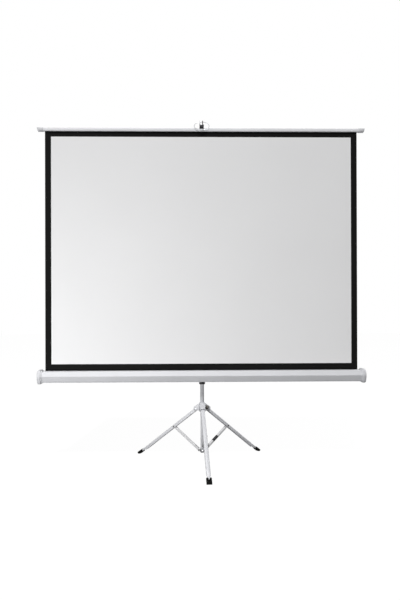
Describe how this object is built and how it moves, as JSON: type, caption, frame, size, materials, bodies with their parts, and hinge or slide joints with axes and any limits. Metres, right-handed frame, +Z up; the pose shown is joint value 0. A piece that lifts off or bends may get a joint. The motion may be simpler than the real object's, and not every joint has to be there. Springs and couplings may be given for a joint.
{
  "type": "tripod projector screen",
  "caption": "Portable projection screen: a folding tripod carries a roller case, and the white fabric with black borders hangs from a hooked top bar on a sliding rod.",
  "frame": {"origin": "on the floor, below the middle of the whole screen's bounding box; the pole's axis is at x = 0, y = 0.0912", "axes": "+Z up, the picture faces -Y, +X to the right of someone who looks at the picture"},
  "size_m": [1.852, 0.6662, 1.9242],
  "materials": {
    "white_paint": "satin white powder coat",
    "brace_paint": "satin light grey powder coat",
    "white_plastic": "matt moulded",
    "black_plastic": "fine-grained moulded",
    "boot_rubber": "matt",
    "bright_steel": "zinc plated",
    "dark_steel": "dark zinc",
    "screen_cloth": "matt white coated cloth with black borders"
  },
  "bodies": {
    "stand": {"pole_tube": "white_paint", "pole_top_bush": "black_plastic", "leg_hub": "white_plastic", "leg_pin_front": "bright_steel", "leg_pin_right": "bright_steel", "leg_pin_left": "bright_steel"},
    "rod_latch": {"rod_latch_button": "black_plastic"},
    "leg_knob": {"hub_knob": "dark_steel"},
    "strut": {"strut_tube": "white_paint", "strut_plug": "black_plastic", "brace_collar": "bright_steel"},
    "leg_front": {"leg_channel_front": "white_paint", "foot_boot_front": "boot_rubber", "brace_rivet_front": "dark_steel"},
    "brace_arm_front": {"brace_front": "brace_paint", "brace_pin_front": "dark_steel"},
    "leg_right": {"leg_channel_right": "white_paint", "foot_boot_right": "boot_rubber", "brace_rivet_right": "dark_steel"},
    "brace_arm_right": {"brace_right": "brace_paint", "brace_pin_right": "dark_steel"},
    "leg_left": {"leg_channel_left": "white_paint", "foot_boot_left": "boot_rubber", "brace_rivet_left": "dark_steel"},
    "brace_arm_left": {"brace_left": "brace_paint", "brace_pin_left": "dark_steel"},
    "carriage": {"pole_sleeve": "black_plastic", "case_bracket": "bright_steel", "case_pivot_bolt": "bright_steel", "case_shell": "white_paint", "case_cap_right": "white_plastic", "case_cap_left": "white_plastic", "roller_bracket_right": "bright_steel", "roller_bracket_left": "bright_steel", "spring_spindle": "bright_steel", "roller_spring": "bright_steel", "screen_fabric": "screen_cloth"},
    "case_knob": {"height_knob": "black_plastic"},
    "roller": {"roller_tube": "bright_steel", "fabric_wrap": "screen_cloth", "roller_plug_right": "black_plastic", "roller_plug_left": "black_plastic"},
    "rod": {"extension_rod": "white_paint", "rod_guide": "black_plastic", "rod_arm": "black_plastic", "ring_hook": "bright_steel"},
    "bar": {"top_bar": "white_paint", "hem_rod": "bright_steel", "bar_cap_right": "white_plastic", "bar_cap_left": "white_plastic", "bar_ring": "bright_steel", "ring_clip": "white_plastic"}
  },
  "joints": [
    {"name": "leg_front_fold", "type": "hinge", "parent": "stand", "child": "leg_front", "pos_m": [0.00188, 0.05525, 0.296], "axis": [0.9986, 0.0523, 0], "range_deg": [0, 49.5]},
    {"name": "leg_right_fold", "type": "hinge", "parent": "stand", "child": "leg_right", "pos_m": [0.03019, 0.11081, 0.296], "axis": [-0.5446, 0.8387, 0], "range_deg": [0, 49.5]},
    {"name": "leg_left_fold", "type": "hinge", "parent": "stand", "child": "leg_left", "pos_m": [-0.03208, 0.10754, 0.296], "axis": [-0.454, -0.891, 0], "range_deg": [0, 49.5]},
    {"name": "brace_front_swing", "type": "hinge", "parent": "leg_front", "child": "brace_arm_front", "pos_m": [0.00935, -0.08719, 0.18457], "axis": [0.9986, 0.0523, 0], "range_deg": [-95.99, 0.5]},
    {"name": "brace_right_swing", "type": "hinge", "parent": "leg_right", "child": "brace_arm_right", "pos_m": [0.14981, 0.18849, 0.18457], "axis": [-0.5446, 0.8387, 0], "range_deg": [-95.99, 0.5]},
    {"name": "brace_left_swing", "type": "hinge", "parent": "leg_left", "child": "brace_arm_left", "pos_m": [-0.15916, 0.17229, 0.18457], "axis": [-0.454, -0.891, 0], "range_deg": [-95.99, 0.5]},
    {"name": "strut_slide", "type": "slide", "parent": "stand", "child": "strut", "axis": [0, 0, -1], "range_m": [-0.001, 0.14955]},
    {"name": "case_height", "type": "slide", "parent": "stand", "child": "carriage", "axis": [0, 0, 1], "range_m": [-0.1, 0.15]},
    {"name": "rod_slide", "type": "slide", "parent": "carriage", "child": "rod", "axis": [0, 0, 1], "range_m": [-0.4, 0], "deforming": ["screen_fabric"]},
    {"name": "bar_lift", "type": "slide", "parent": "carriage", "child": "bar", "axis": [0, 0, 1], "range_m": [-0.401, 0.001]},
    {"name": "roller_turn", "type": "hinge", "parent": "carriage", "child": "roller", "pos_m": [0, 0.0426, 0.491], "axis": [1, 0, 0], "range_deg": [-1172, 2]},
    {"name": "latch_press", "type": "slide", "parent": "stand", "child": "rod_latch", "axis": [0, -1, 0], "range_m": [0, 0.004], "stiffness_N_per_m": 400},
    {"name": "leg_knob_turn", "type": "hinge", "parent": "stand", "child": "leg_knob", "pos_m": [0, 0.0912, 0.31], "axis": [0.891, -0.454, 0], "range_deg": [0, 360]},
    {"name": "case_knob_turn", "type": "hinge", "parent": "carriage", "child": "case_knob", "pos_m": [0, 0.0912, 0.491], "axis": [0, 1, 0], "range_deg": [0, 360]}
  ],
  "couplings": [
    {"joint": "leg_right_fold", "follows": "leg_front_fold", "ratio": 1},
    {"joint": "leg_left_fold", "follows": "leg_front_fold", "ratio": 1},
    {"joint": "brace_front_swing", "follows": "leg_front_fold", "ratio": -1.9291},
    {"joint": "brace_right_swing", "follows": "leg_front_fold", "ratio": -1.9291},
    {"joint": "brace_left_swing", "follows": "leg_front_fold", "ratio": -1.9291},
    {"joint": "strut_slide", "follows": "leg_front_fold", "m_per_rad": 0.17195},
    {"joint": "bar_lift", "follows": "rod_slide", "ratio": 1},
    {"joint": "roller_turn", "follows": "rod_slide", "rad_per_m": 51.02}
  ]
}
